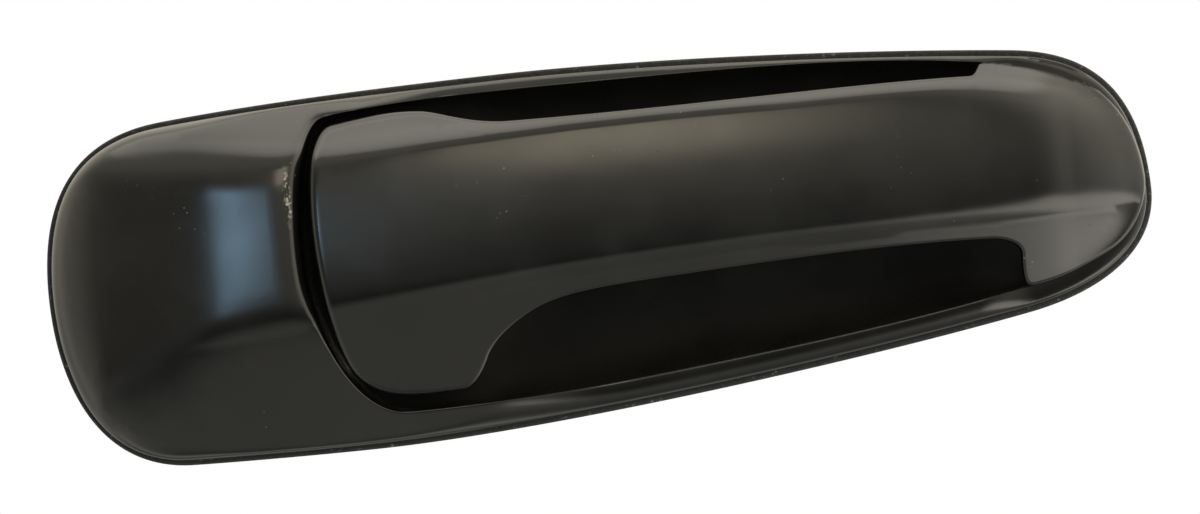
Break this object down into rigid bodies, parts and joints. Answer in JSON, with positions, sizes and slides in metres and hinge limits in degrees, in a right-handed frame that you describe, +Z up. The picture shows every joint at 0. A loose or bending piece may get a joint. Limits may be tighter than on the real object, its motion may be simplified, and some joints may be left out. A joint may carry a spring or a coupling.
{
  "type": "car door handle",
  "caption": "Satin black outside pull handle of a car door, with its domed bezel, gasket, hinged strap grip, hook and bellcrank.",
  "frame": {"origin": "on the door skin's outer face (the gasket's back plane), at the middle of the handle's length", "axes": "+X along the grip towards its hinge end, +Y inboard through the door skin, +Z up"},
  "size_m": [0.2514, 0.0573, 0.0817],
  "materials": {
    "paint": "satin",
    "rubber": "matte",
    "nylon": "matte",
    "acetal": "satin",
    "zinc": "satin",
    "steel": "satin"
  },
  "bodies": {
    "housing": {"gasket": "rubber", "bezel": "paint", "carrier": "nylon", "bezel_screw_1": "steel", "bezel_screw_2": "steel", "bezel_screw_3": "steel", "stud_rear": "steel", "washer_rear": "steel", "nut_rear": "zinc", "stud_front": "steel", "washer_front": "steel", "nut_front": "zinc", "hinge_pin": "steel", "hinge_pin_clip": "steel", "bellcrank_pin": "steel", "bellcrank_pin_clip": "steel", "bellcrank_spring": "steel", "slot_seal": "rubber", "bumper_upper": "rubber", "bumper_lower": "rubber"},
    "grip": {"grip_outer": "paint", "grip_inner": "paint", "hinge_arm": "zinc", "hinge_bush_upper": "acetal", "hinge_bush_lower": "acetal", "hook_arm": "zinc", "hook_cap": "acetal"},
    "crank": {"bellcrank": "zinc", "bellcrank_bush_left": "acetal", "bellcrank_bush_right": "acetal", "counterweight": "zinc"},
    "clip": {"rod_clip": "acetal"}
  },
  "joints": [
    {"name": "grip_pull", "type": "hinge", "parent": "housing", "child": "grip", "pos_m": [0.115, 0.008, 0.008], "axis": [0, 0, 1], "range_deg": [0, 7], "stiffness_Nm_per_rad": 2, "springref_deg": -22.92},
    {"name": "crank_turn", "type": "hinge", "parent": "housing", "child": "crank", "pos_m": [-0.06, 0.0122, -0.024], "axis": [1, 0, 0], "range_deg": [0, 49.5], "stiffness_Nm_per_rad": 0.02, "springref_deg": -28.65},
    {"name": "clip_swivel", "type": "hinge", "parent": "crank", "child": "clip", "pos_m": [-0.0486, 0.0122, -0.0336], "axis": [1, 0, 0], "range_deg": [-25, 25]}
  ],
  "couplings": [
    {"joint": "crank_turn", "follows": "grip_pull", "ratio": 7}
  ]
}
